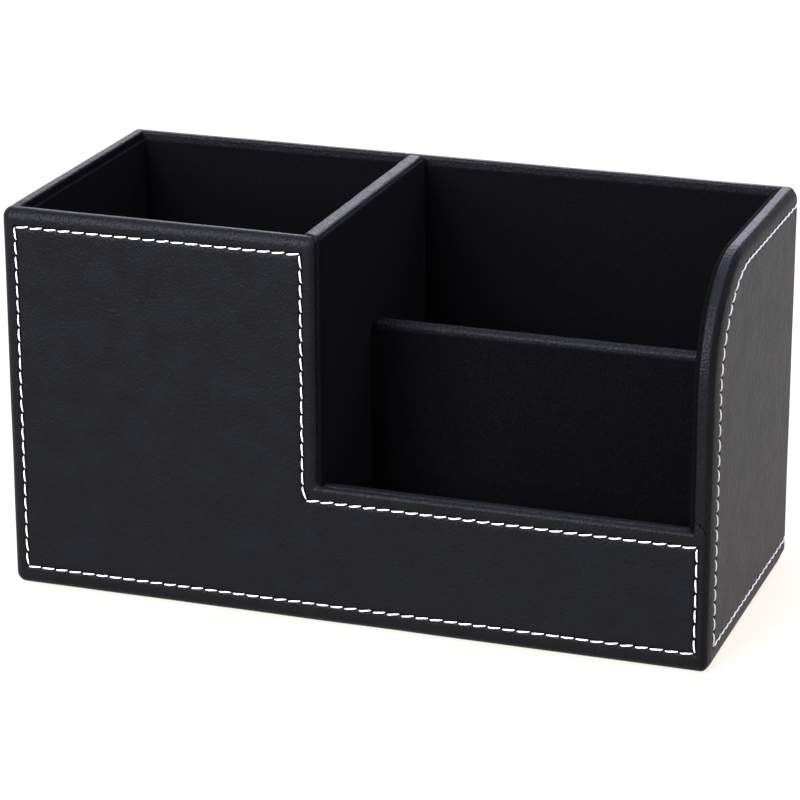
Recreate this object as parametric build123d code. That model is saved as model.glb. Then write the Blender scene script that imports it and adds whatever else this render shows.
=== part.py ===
from build123d import *
import os
from math import cos, pi, sin

# Desk pen holder covered in black synthetic leather.
# A shell of thin fibreboard walls stands on a felt pad. The left part is one tall cup for
# pens. The right part is a low fronted bay, split by a lower cross divider into a front
# pocket and a rear pocket. Every wall is wrapped in leather inside and out, sewn with white
# thread a few millimetres in from its edges, and lined with velvet covered card.
# Lengths are millimetres. X runs to the right, Y to the back and Z up. The origin is the centre
# of the footprint, on the table.

# Overall size
width = 200.0
depth = 92.0
height = 110.0

# Stock
board_t = 2.5            # fibreboard
cover_t = 1.0            # synthetic leather on thin foam
card_t = 1.2             # velvet covered lining card
felt_t = 0.5             # thin pad under the base
thread_w = 0.75          # sewing thread as it lies, across
thread_t = 0.5           # and how deep it is let into the leather
pin_w = 0.64             # square wire of the headless pins

# Layout
cup_clear_w = 82.1       # pen cup, leather to leather, left to right
pocket_clear_d = 37.0    # front pocket, leather to leather, front to back
low_wall_h = 40.0        # top of the low front wall above the table
cross_h = 74.8           # top of the cross divider above the table
side_corner_r = 31.0     # round at the top front corner of the right side

# Edges and turned leather
edge_r = 3.0             # outer edges of the wrapped shell
inner_rim_r = 0.9        # inner edge of the rim
window_r = 1.1           # front edges round the pocket's window, and the dividers' top edges
turn_under = 15.0        # leather turned under the base
mitre_rise = 3.4         # how far the front leather climbs the right front edge
felt_inset = 4.0
felt_corner_r = 4.0

# Lining cards stop short of the rims
card_drop = 2.2          # cup and back cards below the rim
bay_side_drop = 0.5      # cards at the two sides of the bay below the rim
low_card_drop = 0.3      # card behind the low front wall below its top
cross_card_drop = 1.6    # cards on the cross divider below its top
bay_side_setback = 0.7   # front ends of the bay's side cards behind the front face

# Stitching
stitch_pitch = 4.1
stitch_len = 3.3
stitch_slant = 5.0       # degrees off the seam line
groove_w = 1.5           # channel that the thread lies in
front_top_in = 5.0       # distances of the seam lines from the edges of the leather
front_left_in = 4.4
front_right_in = 3.5
front_low_in = 4.0
front_window_in = 4.2
bottom_in = 5.6
side_top_in = 4.9
side_front_in = 6.9
side_seam_r = 28.0       # round of the seam at the right side's top front corner

# Pins at the board joints
pin_len = 12.0
pin_spacing = 32.0
pin_end = 9.0            # first pin from the end of a joint
pin_sink = 0.5           # outer ends of the pins below the boards' faces

# Places worked out from the sizes
wall_t = board_t + 2 * cover_t
left = -width / 2
right = width / 2
front = -depth / 2
back = depth / 2
shell_bottom = felt_t
left_in = left + wall_t
right_in = right - wall_t
front_in = front + wall_t
back_in = back - wall_t
base_top = shell_bottom + cover_t + board_t
floor_top = base_top + card_t
divider_left = left_in + cup_clear_w
divider_right = divider_left + wall_t
bay_left = divider_right + card_t
bay_right = right_in - card_t
cross_front = front_in + pocket_clear_d
cross_back = cross_front + wall_t
bay_card_front = front + bay_side_setback
bay_card_top = height - bay_side_drop

# Modelling aids
spare = 1.0              # overrun of a cutting tool past the work
near_enough = 0.01       # an edge this close to a place counts as lying there


def block(x, y, z):
    """Box between two values on each axis."""
    middle = [(a + b) / 2 for a, b in (x, y, z)]
    return Pos(*middle) * Box(x[1] - x[0], y[1] - y[0], z[1] - z[0])


def corner_cutter(inset, x):
    """What the round at the right side's top front corner takes off a block."""
    centre_y = front + side_corner_r
    centre_z = height - side_corner_r
    corner = block(x, (front - spare, centre_y), (centre_z, height + spare))
    radius = side_corner_r - inset
    rod = Pos((x[0] + x[1]) / 2, centre_y, centre_z) * Rot(0, 90, 0) * Cylinder(radius, x[1] - x[0])
    return corner - rod


def edge_at(body, axis, **place):
    """Edges along axis whose middle lies at the given coordinates."""
    found = []
    for edge in body.edges().filter_by(axis):
        middle = edge.center()
        if all(abs(getattr(middle, name) - value) < near_enough for name, value in place.items()):
            found.append(edge)
    return found


def outer_edges(body, inset):
    """Outside edges of the shell: both side loops and the long edges that join them."""
    sides = body.edges().group_by(Axis.X)
    picked = list(sides[0]) + list(sides[-1])
    for y in (front + inset, back - inset):
        for z in (shell_bottom + inset, height - inset):
            picked += edge_at(body, Axis.X, Y=y, Z=z)
    return picked


def envelope(inset):
    """Outside of the body, moved in by inset, with its round corner and edges."""
    body = block(
        (left + inset, right - inset),
        (front + inset, back - inset),
        (shell_bottom + inset, height - inset),
    )
    body -= corner_cutter(inset, (divider_right, right + spare))
    return fillet(outer_edges(body, inset), edge_r - inset)


def walls(inset):
    """Four walls and base in one, moved in by inset on every face but the floor."""
    body = envelope(inset)
    body -= block(
        (left_in - inset, right_in + inset),
        (front_in - inset, back_in + inset),
        (base_top, height + spare),
    )
    return body - block(
        (divider_right - inset, right_in + inset),
        (front - spare, front_in - inset),
        (low_wall_h - inset, height + spare),
    )


def rim_edges(body):
    """Inner edges of the rim, at full height."""
    picked = []
    for x in (left_in, right_in):
        picked += edge_at(body, Axis.Y, X=x, Z=height)
    for y in (front_in, back_in):
        picked += edge_at(body, Axis.X, Y=y, Z=height)
    return picked


# Boards


def make_boards():
    """Side boards run front to back; front, back and base boards fit between them."""
    core = walls(cover_t)
    side_x = right - cover_t - board_t
    front_y = front + cover_t + board_t
    back_y = back - cover_t - board_t
    whole_y = (front, back)
    whole_z = (0, height)
    inner_x = (-side_x, side_x)
    return {
        "left_side_board": core & block((left, -side_x), whole_y, whole_z),
        "right_side_board": core & block((side_x, right), whole_y, whole_z),
        "front_board": core & block(inner_x, (front, front_y), whole_z),
        "back_board": core & block(inner_x, (back_y, back), whole_z),
        "base_board": core & block(inner_x, (front_y, back_y), whole_z),
    }


def spaced(low, high):
    """Pin places along a joint, evenly spaced and clear of its ends."""
    first = low + pin_end
    last = high - pin_end
    gaps = max(1, round((last - first) / pin_spacing))
    return [first + (last - first) * k / gaps for k in range(gaps + 1)]


def make_pins():
    """Headless pins driven through one board into the edge of the next."""
    pin_x = right - cover_t - pin_sink - pin_len / 2
    pin_y = back - cover_t - pin_sink - pin_len / 2
    base_z = shell_bottom + cover_t + board_t / 2
    end_y = back - cover_t - board_t / 2
    low = base_top
    heights = {
        (-1, -1): spaced(low, height - cover_t),
        (-1, 1): spaced(low, height - cover_t),
        (1, 1): spaced(low, height - cover_t),
        (1, -1): spaced(low, low_wall_h - cover_t),
    }
    pins = []
    for (side, end), levels in heights.items():
        for z in levels:
            pins.append(Pos(side * pin_x, end * end_y, z) * Box(pin_len, pin_w, pin_w))
    for side in (-1, 1):
        for y in spaced(front_in, back_in):
            pins.append(Pos(side * pin_x, y, base_z) * Box(pin_len, pin_w, pin_w))
        for x in spaced(left_in + pin_len, right_in - pin_len):
            pins.append(Pos(x, side * pin_y, base_z) * Box(pin_w, pin_len, pin_w))
    return pins


def divider_cover(x, y, z, along):
    """Leather folded over a divider board, open at its ends and foot."""
    body = block(x, y, z)
    if along == Axis.Y:
        core = block((x[0] + cover_t, x[1] - cover_t), y, (z[0], z[1] - cover_t))
    else:
        core = block(x, (y[0] + cover_t, y[1] - cover_t), (z[0], z[1] - cover_t))
    top = edge_at(body, along, Z=z[1])
    return fillet(top, window_r) - core, core


# Leather


def front_region():
    """Space that the front leather takes up, mitred at both front corners."""
    reach = turn_under
    plan = Polygon(
        (left, front),
        (right, front),
        (right - reach, front + reach),
        (left + reach, front + reach),
        align=None,
    )
    region = extrude(plan, height + spare)
    slope = mitre_rise / wall_t
    far_x = right + spare
    profile = Plane.XZ * Polygon(
        (right_in, low_wall_h + mitre_rise),
        (far_x, low_wall_h - slope * spare),
        (far_x, height + 2 * spare),
        (right_in, height + 2 * spare),
        align=None,
    )
    return region - Pos(0, front - spare, 0) * extrude(profile, -(reach + 2 * spare))


def infill_block():
    return block(
        (left + turn_under, right - turn_under),
        (front + turn_under, back - turn_under),
        (shell_bottom, shell_bottom + cover_t),
    )


def make_skin():
    """Leather round all the walls, before it is cut into front piece and wrap."""
    body = walls(0)
    sill = edge_at(body, Axis.X, Y=front, Z=low_wall_h)
    jamb = edge_at(body, Axis.Z, X=divider_right, Y=front)
    body = fillet(sill + jamb, window_r)
    body = fillet(rim_edges(body), inner_rim_r)
    return body - walls(cover_t) - infill_block()


# Seams


def front_seam():
    """Corners of the closed seam on the front, as X and Z, clockwise from bottom left."""
    x = (left + front_left_in, divider_right - front_window_in, right - front_right_in)
    z = (shell_bottom + bottom_in, low_wall_h - front_low_in, height - front_top_in)
    return [(x[0], z[0]), (x[0], z[2]), (x[1], z[2]), (x[1], z[1]), (x[2], z[1]), (x[2], z[0])]


side_z = (shell_bottom + bottom_in, height - side_top_in)
side_front_y = front + side_front_in
arc_y = side_front_y + side_seam_r
arc_z = side_z[1] - side_seam_r
rear_y = back - edge_r


def side_seam_line(is_right):
    """Seam on one side as a line in Y and Z, from the rear top round to the rear bottom."""
    low, high = side_z
    if not is_right:
        return Polyline((rear_y, high), (side_front_y, high), (side_front_y, low), (rear_y, low))
    top = Line((rear_y, high), (arc_y, high))
    bend = CenterArc((arc_y, arc_z), side_seam_r, 90, 90)
    rest = Polyline((side_front_y, arc_z), (side_front_y, low), (rear_y, low))
    return top + bend + rest


def side_groove(is_right):
    """Channel for the thread in one side's face."""
    sign = 1 if is_right else -1
    band = Plane.YZ * trace(side_seam_line(is_right), groove_w)
    return Pos(sign * (right - thread_t), 0, 0) * extrude(band, sign * (thread_t + spare))


def back_groove(z):
    """Channel round the rear corners and across the back at one height."""
    outer = RectangleRounded(width + spare, depth + spare, edge_r + spare / 2)
    inner = RectangleRounded(width - 2 * thread_t, depth - 2 * thread_t, edge_r - thread_t)
    ring = Pos(0, 0, z - groove_w / 2) * extrude(outer - inner, groove_w)
    return ring & block((left - spare, right + spare), (rear_y, back + spare), (0, height))


def front_groove():
    corners = front_seam()
    band = Plane.XZ * trace(Polyline(*corners, close=True), groove_w)
    return Pos(0, front - spare, 0) * extrude(band, -(thread_t + spare))


def stitch(place, along, outward):
    """One stitch, its top level with the leather, lying a little across the seam."""
    lie = Plane(origin=place, x_dir=along, z_dir=outward) * Rot(0, 0, stitch_slant)
    return extrude(lie * SlotOverall(stitch_len, thread_w), -thread_t)


def stitch_run(start, end, outward):
    """Stitches from start to end, at the pitch that divides the run evenly."""
    a = Vector(*start)
    run = Vector(*end) - a
    count = max(1, round(run.length / stitch_pitch))
    return [stitch(a + run * ((k + 0.5) / count), run, outward) for k in range(count)]


def stitch_bend():
    """Stitches round the seam's bend on the right side."""
    sweep = pi / 2
    count = max(1, round(side_seam_r * sweep / stitch_pitch))
    stitches = []
    for k in range(count):
        turn = sweep * (1 + (k + 0.5) / count)
        y = arc_y + side_seam_r * cos(turn)
        z = arc_z + side_seam_r * sin(turn)
        stitches.append(stitch((right, y, z), (0, -sin(turn), cos(turn)), (1, 0, 0)))
    return stitches


def corner_stitch(side, z):
    """The stitch that bends round a rear corner."""
    half_turn = stitch_len / edge_r / 2
    centre_x = side * (right - edge_r)
    ring = Circle(edge_r) - Circle(edge_r - thread_t)
    reach = 2 * edge_r
    toward = pi / 4 if side > 0 else 3 * pi / 4
    points = [(0, 0)]
    for turn in (toward - half_turn, toward, toward + half_turn):
        points.append((reach * cos(turn), reach * sin(turn)))
    sector = ring & Polygon(*points, align=None)
    return Pos(centre_x, rear_y, z - thread_w / 2) * extrude(sector, thread_w)


def front_stitches():
    corners = [(x, front, z) for x, z in front_seam()]
    stitches = []
    for start, end in zip(corners, corners[1:] + corners[:1]):
        stitches += stitch_run(start, end, (0, -1, 0))
    return stitches


def wrap_stitches():
    low, high = side_z
    stitches = []
    stitches += stitch_run((left, rear_y, high), (left, side_front_y, high), (-1, 0, 0))
    stitches += stitch_run((left, side_front_y, high), (left, side_front_y, low), (-1, 0, 0))
    stitches += stitch_run((left, side_front_y, low), (left, rear_y, low), (-1, 0, 0))
    stitches += stitch_run((right, rear_y, high), (right, arc_y, high), (1, 0, 0))
    stitches += stitch_bend()
    stitches += stitch_run((right, side_front_y, arc_z), (right, side_front_y, low), (1, 0, 0))
    stitches += stitch_run((right, side_front_y, low), (right, rear_y, low), (1, 0, 0))
    for z in side_z:
        stitches += stitch_run((left + edge_r, back, z), (right - edge_r, back, z), (0, 1, 0))
        stitches += [corner_stitch(side, z) for side in (-1, 1)]
    return stitches


# Linings


def cup_linings():
    """Cards of the pen cup: floor, two sides, then front and back between the sides."""
    x = (left_in, divider_left)
    y = (front_in, back_in)
    z = (floor_top, height - card_drop)
    between = (x[0] + card_t, x[1] - card_t)
    return {
        "cup_floor_lining": block(x, y, (base_top, floor_top)),
        "cup_left_lining": block((x[0], x[0] + card_t), y, z),
        "cup_right_lining": block((x[1] - card_t, x[1]), y, z),
        "cup_front_lining": block(between, (y[0], y[0] + card_t), z),
        "cup_back_lining": block(between, (y[1] - card_t, y[1]), z),
    }


def bay_side_card(x):
    """Side card of the bay, carried forward over the low wall to the front edge."""
    card = block(x, (bay_card_front, back_in), (floor_top, bay_card_top))
    card -= block(x, (bay_card_front, front_in), (floor_top, low_wall_h))
    return card


def bay_linings():
    """Cards of the bay: floor, sides, back, low front wall and both faces of the cross divider."""
    floor = block((divider_right, right_in), (front_in, back_in), (base_top, floor_top))
    between = (bay_left, bay_right)
    right_card = bay_side_card((bay_right, right_in))
    right_card -= corner_cutter(bay_side_setback, (bay_right - spare, right_in + spare))
    cross_z = (floor_top, cross_h - cross_card_drop)
    front_y = (front_in, front_in + card_t)
    back_y = (back_in - card_t, back_in)
    return {
        "bay_floor_lining": floor,
        "bay_left_lining": bay_side_card((divider_right, bay_left)),
        "bay_right_lining": right_card,
        "bay_front_lining": block(between, front_y, (floor_top, low_wall_h - low_card_drop)),
        "bay_back_lining": block(between, back_y, (floor_top, height - card_drop)),
        "cross_front_lining": block(between, (cross_front - card_t, cross_front), cross_z),
        "cross_back_lining": block(between, (cross_back, cross_back + card_t), cross_z),
    }


def make_felt():
    shape = RectangleRounded(width - 2 * felt_inset, depth - 2 * felt_inset, felt_corner_r)
    return extrude(shape, felt_t)


def make_parts():
    boards = make_boards()
    pins = make_pins()
    for name in boards:
        boards[name] -= pins
    parts = dict(boards)
    parts["joint_pins"] = Compound(children=pins)

    divider = ((divider_left, divider_right), (front_in, back_in), (base_top, height))
    cover, core = divider_cover(*divider, Axis.Y)
    parts["middle_divider_cover"] = cover
    parts["middle_divider_board"] = core
    cross = ((bay_left, bay_right), (cross_front, cross_back), (floor_top, cross_h))
    cover, core = divider_cover(*cross, Axis.X)
    parts["cross_divider_cover"] = cover
    parts["cross_divider_board"] = core

    skin = make_skin()
    region = front_region()
    parts["front_cover"] = (skin & region) - front_groove()
    wrap = skin - region
    for is_right in (False, True):
        wrap -= side_groove(is_right)
    for z in side_z:
        wrap -= back_groove(z)
    parts["wrap_cover"] = wrap
    parts["front_stitching"] = Compound(children=front_stitches())
    parts["wrap_stitching"] = Compound(children=wrap_stitches())
    parts["base_infill_card"] = infill_block()
    parts["base_felt"] = make_felt()
    parts.update(cup_linings())
    parts.update(bay_linings())
    return parts


def main():
    os.makedirs("parts", exist_ok=True)
    for name, shape in make_parts().items():
        solids = shape.solids()
        print(f"{name}: {len(solids)} solids, {sum(s.volume for s in solids):.1f} mm3")
        export_step(shape, f"parts/{name}.step")


main()
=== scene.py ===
import math

import bmesh
import bpy
from mathutils import Matrix, Quaternion, Vector, kdtree, noise


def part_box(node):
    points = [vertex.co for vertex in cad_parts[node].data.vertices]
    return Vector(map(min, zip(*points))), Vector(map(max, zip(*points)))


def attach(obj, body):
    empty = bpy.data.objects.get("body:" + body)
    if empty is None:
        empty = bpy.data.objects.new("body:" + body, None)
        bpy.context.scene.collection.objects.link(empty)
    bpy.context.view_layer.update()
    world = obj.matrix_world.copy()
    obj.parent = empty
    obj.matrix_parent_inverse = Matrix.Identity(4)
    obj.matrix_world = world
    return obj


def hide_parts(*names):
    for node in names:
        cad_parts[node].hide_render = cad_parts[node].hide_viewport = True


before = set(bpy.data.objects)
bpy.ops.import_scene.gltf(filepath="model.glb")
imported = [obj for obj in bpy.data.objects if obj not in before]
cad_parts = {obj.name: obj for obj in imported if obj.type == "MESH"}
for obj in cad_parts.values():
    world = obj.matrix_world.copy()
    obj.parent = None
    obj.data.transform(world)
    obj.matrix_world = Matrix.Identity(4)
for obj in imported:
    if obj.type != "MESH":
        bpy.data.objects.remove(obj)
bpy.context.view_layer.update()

# Desk pen holder in black leather cloth, white stitching and black velvet cards.
# Meshes are built in millimetres in the frame's axes and scaled to metres when they are finished.
metre = 0.001
tiny = 1e-3


# Small helpers

def boxMm(name):
    low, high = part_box(name)
    return low / metre, high / metre


def linear(hexColor):
    channels = [int(hexColor[i:i + 2], 16) / 255 for i in (1, 3, 5)]
    return [c / 12.92 if c <= 0.04045 else ((c + 0.055) / 1.055) ** 2.4 for c in channels] + [1.0]


def addNode(tree, kind, settings=None, links=None):
    node = tree.nodes.new(kind)
    for name, value in (settings or {}).items():
        if isinstance(name, int) or name in node.inputs:
            node.inputs[name].default_value = value
        else:
            setattr(node, name, value)
    for name, source in (links or {}).items():
        tree.links.new(source, node.inputs[name])
    return node


def startMaterial(name):
    material = bpy.data.materials.new(name)
    material.use_nodes = True
    tree = material.node_tree
    tree.nodes.clear()
    output = addNode(tree, "ShaderNodeOutputMaterial")
    shader = addNode(tree, "ShaderNodeBsdfPrincipled")
    tree.links.new(shader.outputs["BSDF"], output.inputs["Surface"])
    place = addNode(tree, "ShaderNodeTexCoord").outputs["Object"]
    return material, tree, shader, place


def setShader(tree, shader, values, links=None):
    for name, value in values.items():
        shader.inputs[name].default_value = value
    for name, source in (links or {}).items():
        tree.links.new(source, shader.inputs[name])


def rampOf(tree, source, stops):
    node = addNode(tree, "ShaderNodeValToRGB", links={"Fac": source})
    elements = node.color_ramp.elements
    while len(elements) < len(stops):
        elements.new(0.5)
    for element, (at, color) in zip(elements, stops):
        element.position = at
        element.color = color
    return node.outputs["Color"]


def grey(value):
    return (value, value, value, 1.0)


def smooth(value):
    value = min(1.0, max(0.0, value))
    return value * value * (3 - 2 * value)


def finishPiece(bm, name, material, nodes, sharpAngle=50):
    for face in bm.faces:
        face.smooth = True
    bmesh.ops.scale(bm, vec=(metre, metre, metre), verts=bm.verts)
    mesh = bpy.data.meshes.new(name)
    bm.to_mesh(mesh)
    bm.free()
    mesh.set_sharp_from_angle(angle=math.radians(sharpAngle))
    mesh.materials.append(material)
    piece = bpy.data.objects.new(name, mesh)
    bpy.context.scene.collection.objects.link(piece)
    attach(piece, "root")
    if nodes:
        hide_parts(*nodes)
    return piece


def thicken(piece, thickness):
    solid = piece.modifiers.new("thickness", "SOLIDIFY")
    solid.thickness = thickness * metre
    solid.offset = -1
    solid.use_rim = True


# Camera, at the photograph's viewing angle

camera = {
    "place": (297.543, -857.504, 366.209),   # mm
    "yaw": -19.2083,                         # degrees to the right of +Y
    "pitch": -19.1529,
    "roll": -0.0925,
    "lens": 154.80,                          # mm on a 36 mm sensor
}


def makeCamera():
    yaw, pitch, roll = (math.radians(camera[name]) for name in ("yaw", "pitch", "roll"))
    ahead = Vector((math.sin(yaw) * math.cos(pitch), math.cos(yaw) * math.cos(pitch), math.sin(pitch)))
    level = ahead.cross(Vector((0, 0, 1))).normalized()
    above = level.cross(ahead)
    right = level * math.cos(roll) + above * math.sin(roll)
    up = above * math.cos(roll) - level * math.sin(roll)
    turn = Matrix((right, up, -ahead)).transposed().to_4x4()
    data = bpy.data.cameras.new("camera")
    data.lens = camera["lens"]
    data.sensor_width = 36
    data.clip_start = 0.05
    data.clip_end = 50
    view = bpy.data.objects.new("camera", data)
    view.matrix_world = Matrix.Translation(Vector(camera["place"]) * metre) @ turn
    bpy.context.scene.collection.objects.link(view)
    bpy.context.scene.camera = view


makeCamera()
print("camera made")


# Materials

leatherLook = {
    "color": "#0c0c0c",
    "coolTint": "#0e0f11",
    "roughness": 0.36,
    "ior": 1.13,
    "grainWidth": 0.55,      # mm across one pebble of the grain
    "grainStretch": 0.75,
    "grainTilt": 32.0,       # degrees that the drawn grain leans
    "creaseWidth": 2.6,      # mm between the soft creases
    "grainHeight": 0.2,      # mm
    "mottle": 9.0,           # mm across the soft patches
}


def makeLeather():
    # Polyurethane leather cloth, embossed with a fine leaning grain by a warm roller: near black and
    # half matt. The grain breaks up the light along the rounded edges; the stitched grooves get painted
    # shade, their base colour darkened to a fifth.
    look = leatherLook
    material, tree, shader, place = startMaterial("embossedLeatherCloth")
    drawn = addNode(tree, "ShaderNodeMapping", {
        "Rotation": (0, math.radians(look["grainTilt"]), 0), "Scale": (1, 1, look["grainStretch"])},
        {"Vector": place}).outputs["Vector"]
    pebbles = addNode(tree, "ShaderNodeTexVoronoi", {
        "feature": "SMOOTH_F1", "Scale": 1 / (look["grainWidth"] * metre), "Smoothness": 0.5,
        "Randomness": 1.0}, {"Vector": drawn})
    creases = addNode(tree, "ShaderNodeTexNoise", {
        "Scale": 1 / (look["creaseWidth"] * metre), "Detail": 4.0, "Roughness": 0.62}, {"Vector": drawn})
    patches = addNode(tree, "ShaderNodeTexNoise", {
        "Scale": 1 / (look["mottle"] * metre), "Detail": 3.0, "Roughness": 0.55}, {"Vector": place})
    relief = addNode(tree, "ShaderNodeMath", {"operation": "MULTIPLY_ADD", 1: 0.7},
                     {0: pebbles.outputs["Distance"], 2: creases.outputs["Fac"]})
    bump = addNode(tree, "ShaderNodeBump", {"Strength": 1.0, "Distance": look["grainHeight"] * metre},
                   {"Height": relief.outputs["Value"]})
    color = rampOf(tree, patches.outputs["Fac"], [(0.3, linear(look["color"])), (0.7, linear(look["coolTint"]))])
    rough = addNode(tree, "ShaderNodeMapRange", {
        "From Min": 0.3, "From Max": 0.7, "To Min": look["roughness"] - 0.02,
        "To Max": look["roughness"] + 0.02}, {"Value": patches.outputs["Fac"]})
    # painted shade: the stitch groove attribute darkens the base colour to a fifth inside the grooves
    seam = addNode(tree, "ShaderNodeAttribute", {"attribute_name": "paintedSeamShade"}).outputs["Fac"]
    light = addNode(tree, "ShaderNodeMapRange", {"To Min": 1.0, "To Max": 0.2}, {"Value": seam})
    shaded = addNode(tree, "ShaderNodeVectorMath", {"operation": "SCALE"},
                     {0: color, "Scale": light.outputs["Result"]})
    setShader(tree, shader, {"IOR": look["ior"]}, {
        "Base Color": shaded.outputs["Vector"], "Roughness": rough.outputs["Result"],
        "Normal": bump.outputs["Normal"]})
    return material


velvetLook = {
    "color": "#030304",
    "fleck": "#0d0d0f",
    "napWidth": 0.35,        # mm between the flecks that catch light
    "sheen": 0.022,
}


def makeVelvet():
    # Cotton velvet flocked on card: a deep black that swallows light, with scattered fibres that glint
    # faintly.
    look = velvetLook
    material, tree, shader, place = startMaterial("flockedVelvet")
    nap = addNode(tree, "ShaderNodeTexNoise", {
        "Scale": 1 / (look["napWidth"] * metre), "Detail": 2.0, "Roughness": 0.7}, {"Vector": place})
    color = rampOf(tree, nap.outputs["Fac"], [(0.52, linear(look["color"])), (0.78, linear(look["fleck"]))])
    bump = addNode(tree, "ShaderNodeBump", {"Strength": 0.5, "Distance": 0.00008},
                   {"Height": nap.outputs["Fac"]})
    setShader(tree, shader, {"Roughness": 0.95, "IOR": 1.09, "Sheen Weight": look["sheen"],
                             "Sheen Roughness": 0.5, "Sheen Tint": linear("#8d8f9a")},
              {"Base Color": color, "Normal": bump.outputs["Normal"]})
    return material


threadLook = {
    "color": "#eae8e2",
    "shade": "#bfbcb3",
    "plyPitch": 0.55,        # mm of thread per turn of its plies, coarse enough to show
}


def makeThread():
    # Bonded polyester cord of three plies: off white, with a slanted shadow painted into its colour where the plies
    # meet.
    look = threadLook
    material, tree, shader, _ = startMaterial("bondedThread")
    local = addNode(tree, "ShaderNodeAttribute", {"attribute_name": "threadPlace"}).outputs["Vector"]
    split = addNode(tree, "ShaderNodeSeparateXYZ", links={"Vector": local})
    angle = addNode(tree, "ShaderNodeMath", {"operation": "ARCTAN2"},
                    {0: split.outputs["Z"], 1: split.outputs["Y"]})
    twist = addNode(tree, "ShaderNodeMath", {"operation": "MULTIPLY_ADD", 1: 2 * math.pi / look["plyPitch"]},
                    {0: split.outputs["X"], 2: angle.outputs["Value"]})
    wave = addNode(tree, "ShaderNodeMath", {"operation": "SINE"}, {0: twist.outputs["Value"]})
    # painted shade: the colour falls to the shade colour where the plies meet
    color = rampOf(tree, addNode(tree, "ShaderNodeMapRange", {"From Min": -1.0, "From Max": 1.0},
                                 {"Value": wave.outputs["Value"]}).outputs["Result"],
                   [(0.05, linear(look["shade"])), (0.45, linear(look["color"]))])
    bump = addNode(tree, "ShaderNodeBump", {"Strength": 0.6, "Distance": 0.00006},
                   {"Height": wave.outputs["Value"]})
    setShader(tree, shader, {"Roughness": 0.55, "IOR": 1.45, "Sheen Weight": 0.15, "Sheen Roughness": 0.4},
              {"Base Color": color, "Normal": bump.outputs["Normal"]})
    return material


def makeFibreboard():
    # Medium density fibreboard, sawn: pale brown with short matted fibres, matt.
    material, tree, shader, place = startMaterial("sawnFibreboard")
    fibres = addNode(tree, "ShaderNodeTexNoise", {"Scale": 1400.0, "Detail": 6.0, "Roughness": 0.7},
                     {"Vector": place})
    color = rampOf(tree, fibres.outputs["Fac"], [(0.35, linear("#8f7454")), (0.65, linear("#bb9f7a"))])
    bump = addNode(tree, "ShaderNodeBump", {"Strength": 0.4, "Distance": 0.0001},
                   {"Height": fibres.outputs["Fac"]})
    setShader(tree, shader, {"Roughness": 0.85}, {"Base Color": color, "Normal": bump.outputs["Normal"]})
    return material


def makeGreyCard():
    # Recycled grey card, calendered: flat grey with darker specks.
    material, tree, shader, place = startMaterial("recycledGreyCard")
    specks = addNode(tree, "ShaderNodeTexNoise", {"Scale": 2200.0, "Detail": 3.0}, {"Vector": place})
    color = rampOf(tree, specks.outputs["Fac"], [(0.3, linear("#6b6862")), (0.5, linear("#96928a"))])
    setShader(tree, shader, {"Roughness": 0.9}, {"Base Color": color})
    return material


def makePinSteel():
    # Bright drawn steel wire: silver with fine scratches along its length.
    material, tree, shader, place = startMaterial("drawnSteelWire")
    scratches = addNode(tree, "ShaderNodeTexNoise", {"Scale": 5000.0, "Detail": 2.0}, {"Vector": place})
    rough = addNode(tree, "ShaderNodeMapRange", {"To Min": 0.22, "To Max": 0.42},
                    {"Value": scratches.outputs["Fac"]})
    setShader(tree, shader, {"Base Color": linear("#c8c8ca"), "Metallic": 1.0},
              {"Roughness": rough.outputs["Result"]})
    return material


def makeFelt():
    # Needled polyester felt: black, matt and fuzzy, with tangled fibres that show as grey threads.
    material, tree, shader, place = startMaterial("needledFelt")
    warp = addNode(tree, "ShaderNodeTexNoise", {"Scale": 700.0, "Detail": 3.0}, {"Vector": place})
    tangle = addNode(tree, "ShaderNodeTexNoise", {"Scale": 1800.0, "Detail": 5.0, "Distortion": 2.5},
                     {"Vector": place})
    mixed = addNode(tree, "ShaderNodeMath", {"operation": "MULTIPLY"},
                    {0: warp.outputs["Fac"], 1: tangle.outputs["Fac"]})
    color = rampOf(tree, mixed.outputs["Value"], [(0.2, linear("#0b0b0c")), (0.4, linear("#2b2b2d"))])
    bump = addNode(tree, "ShaderNodeBump", {"Strength": 0.7, "Distance": 0.0002},
                   {"Height": mixed.outputs["Value"]})
    setShader(tree, shader, {"Roughness": 1.0, "Sheen Weight": 0.2},
              {"Base Color": color, "Normal": bump.outputs["Normal"]})
    return material


leather = makeLeather()
velvet = makeVelvet()
thread = makeThread()
fibreboard = makeFibreboard()
greyCard = makeGreyCard()
pinSteel = makePinSteel()
felt = makeFelt()
print("materials made")

plainNodes = {
    "left_side_board": fibreboard,
    "right_side_board": fibreboard,
    "front_board": fibreboard,
    "back_board": fibreboard,
    "base_board": fibreboard,
    "middle_divider_board": fibreboard,
    "cross_divider_board": fibreboard,
    "joint_pins": pinSteel,
    "base_infill_card": greyCard,
    "base_felt": felt,
}
for nodeName, material in plainNodes.items():
    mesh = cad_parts[nodeName].data
    mesh.materials.clear()
    mesh.materials.append(material)
print("hidden parts dressed")


# Outline of the shell, in mm

wrapLow, wrapHigh = boxMm("wrap_cover")
cupLow = boxMm("cup_left_lining")[0]
cupHigh = boxMm("cup_right_lining")[1]
bayLow = boxMm("bay_left_lining")[0]
bayHigh = boxMm("bay_right_lining")[1]

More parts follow.
